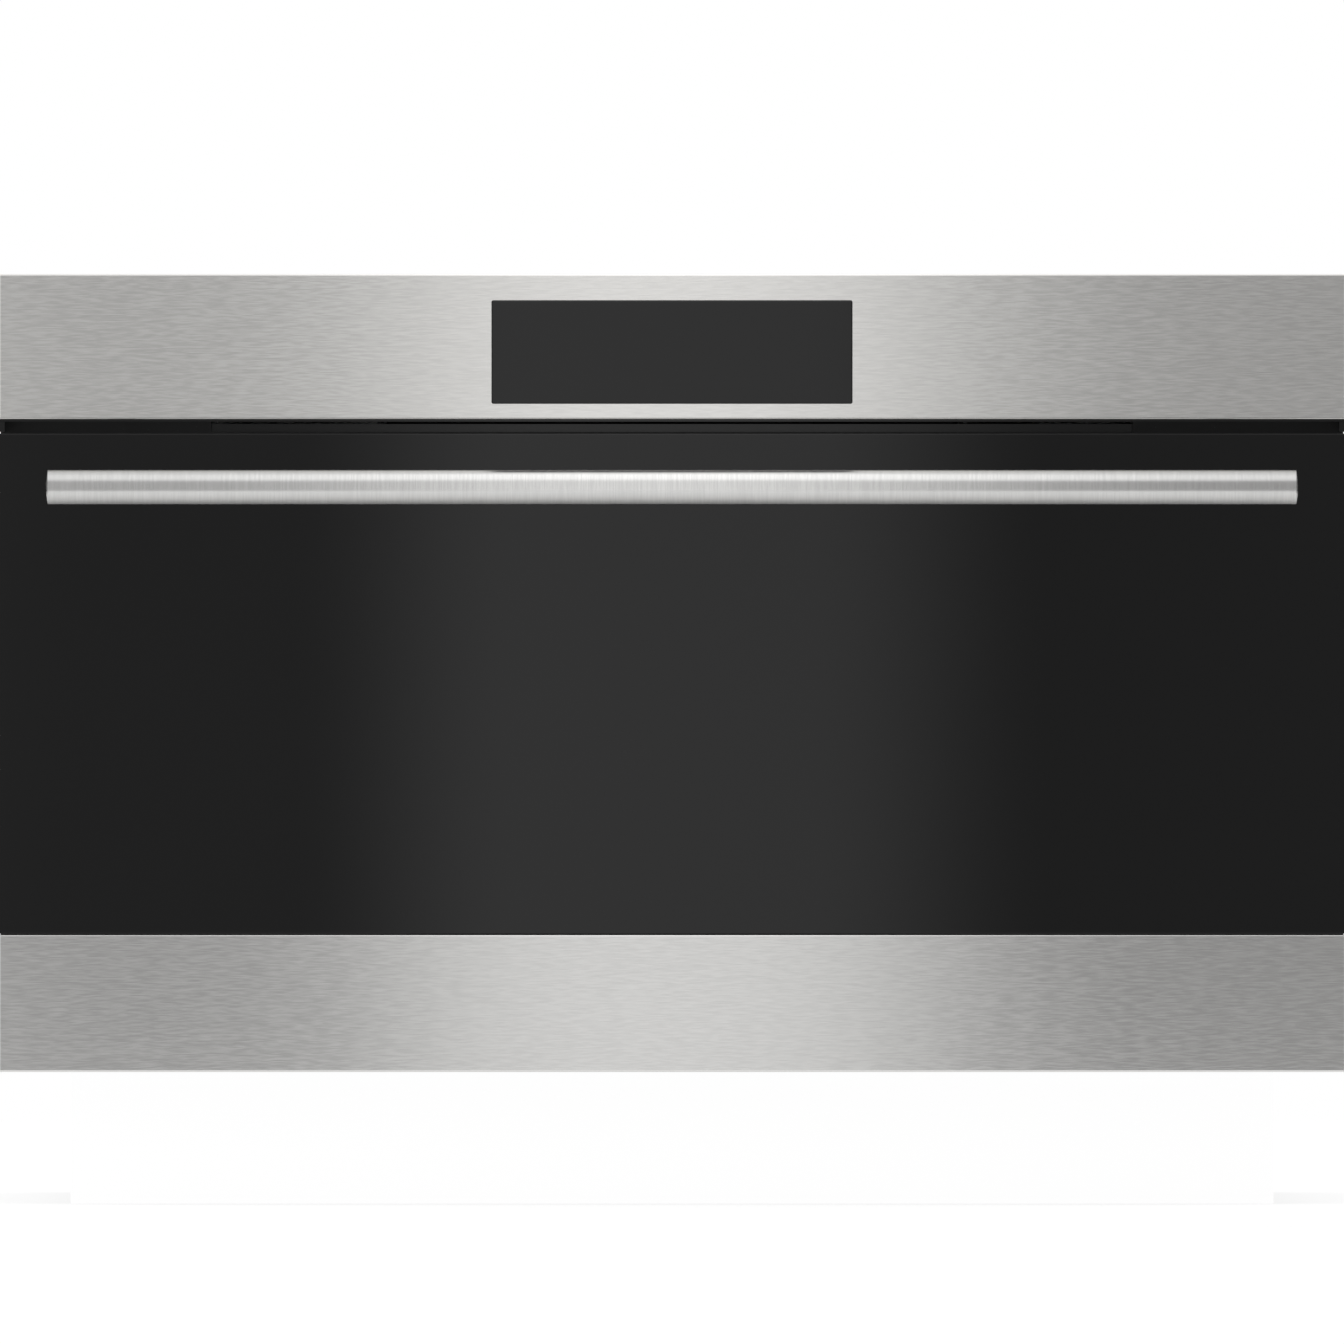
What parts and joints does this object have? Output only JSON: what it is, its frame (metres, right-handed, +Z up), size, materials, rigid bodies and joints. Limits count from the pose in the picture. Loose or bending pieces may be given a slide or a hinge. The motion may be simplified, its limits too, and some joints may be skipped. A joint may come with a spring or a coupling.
{
  "type": "speed oven",
  "caption": "Built-in speed oven with a drop-down black glass door, round bar handle, brushed steel fascia with a touch display, and a steel strip at the door's foot.",
  "frame": {"origin": "underside of the base, midway between the sides, in the plane of the cabinet's face that the front flange rests on", "axes": "+X to the right seen from the front, +Y from the door into the cabinet, +Z up"},
  "size_m": [0.759, 0.6283, 0.45],
  "materials": {
    "brushed_steel": "horizontal brushed grain",
    "black_glass": "opaque black, polished",
    "clear_glass": "polished",
    "ceramic_glass": "opaque, smooth",
    "stainless": "satin",
    "galvanised": "galvanised sheet",
    "dark_enamel": "satin black",
    "black_plastic": "matte",
    "wool": "mineral wool",
    "chromed_wire": "bright",
    "element_steel": "heat-darkened steel",
    "circuit_board": "board with lacquer",
    "zinc_steel": "zinc plated",
    "motor_body": "bare pressed steel",
    "stirrer_metal": "satin",
    "button_plastic": "gloss"
  },
  "bodies": {
    "oven": {"air_duct": "galvanised", "air_outlet_trim": "black_plastic", "base_pan": "galvanised", "blower_housing": "galvanised", "blower_motor": "motor_body", "cavity_liner": "stainless", "chassis_screws": "zinc_steel", "control_board": "circuit_board", "cord_gland": "black_plastic", "display_glass": "black_glass", "display_module": "black_plastic", "fan_housing": "galvanised", "fan_motor": "motor_body", "fascia": "brushed_steel", "floor_glass": "ceramic_glass", "front_frame": "dark_enamel", "grill_element": "element_steel", "hinge_arms": "zinc_steel", "hinge_receivers": "zinc_steel", "insulation_blanket": "wool", "interlock_brackets": "galvanised", "interlock_switches": "black_plastic", "inverter_board": "circuit_board", "lamp_bulb": "clear_glass", "lamp_housing": "stainless", "lamp_lens": "clear_glass", "magnetron": "motor_body", "power_board": "circuit_board", "rack_guides": "chromed_wire", "rear_panel": "galvanised", "ring_element": "element_steel", "side_panel_left": "galvanised", "side_panel_right": "galvanised", "stirrer_motor": "motor_body", "top_cover": "galvanised", "waveguide": "galvanised", "wire_rack": "chromed_wire"},
    "door": {"door_glass": "black_glass", "door_trim": "brushed_steel", "door_frame": "dark_enamel", "door_back_cover": "dark_enamel", "choke_frame": "dark_enamel", "choke_cover": "black_plastic", "door_screen": "dark_enamel", "door_inner_glass": "clear_glass", "handle_bar": "brushed_steel", "handle_posts": "brushed_steel", "handle_screws": "zinc_steel", "hinge_cases": "zinc_steel", "hinge_pins": "zinc_steel", "hinge_springs": "zinc_steel", "latch_hooks": "zinc_steel", "door_screws": "zinc_steel"},
    "left_plunger": {"hinge_plunger_left": "zinc_steel"},
    "right_plunger": {"hinge_plunger_right": "zinc_steel"},
    "left_button": {"switch_plunger_left": "button_plastic"},
    "right_button": {"switch_plunger_right": "button_plastic"},
    "fan": {"fan_wheel": "zinc_steel"},
    "antenna": {"stirrer": "stirrer_metal"},
    "blower": {"blower_rotor": "black_plastic"}
  },
  "joints": [
    {"name": "door_hinge", "type": "hinge", "parent": "oven", "child": "door", "pos_m": [0, -0.013, 0.009], "axis": [1, 0, 0], "range_deg": [0, 90], "stiffness_Nm_per_rad": 6, "springref_deg": -34.38, "deforming": ["hinge_springs"]},
    {"name": "left_plunger_slide", "type": "slide", "parent": "door", "child": "left_plunger", "axis": [0, 0, 1], "range_m": [0, 0.0051]},
    {"name": "right_plunger_slide", "type": "slide", "parent": "door", "child": "right_plunger", "axis": [0, 0, 1], "range_m": [0, 0.0051]},
    {"name": "left_button_slide", "type": "slide", "parent": "oven", "child": "left_button", "axis": [0, -1, 0], "range_m": [0, 0.003]},
    {"name": "right_button_slide", "type": "slide", "parent": "oven", "child": "right_button", "axis": [0, -1, 0], "range_m": [0, 0.003]},
    {"name": "fan_spin", "type": "hinge", "parent": "oven", "child": "fan", "pos_m": [0, 0.49, 0.188], "axis": [0, 1, 0], "continuous": true},
    {"name": "antenna_spin", "type": "hinge", "parent": "oven", "child": "antenna", "pos_m": [0, 0.235, 0.037], "axis": [0, 0, 1], "continuous": true},
    {"name": "blower_spin", "type": "hinge", "parent": "oven", "child": "blower", "pos_m": [0, 0.4375, 0.375], "axis": [1, 0, 0], "continuous": true}
  ],
  "couplings": [
    {"joint": "left_plunger_slide", "follows": "door_hinge", "m_per_rad": 0.0032},
    {"joint": "right_plunger_slide", "follows": "door_hinge", "m_per_rad": 0.0032},
    {"joint": "left_button_slide", "follows": "door_hinge", "m_per_rad": 0.0019},
    {"joint": "right_button_slide", "follows": "door_hinge", "m_per_rad": 0.0019}
  ]
}
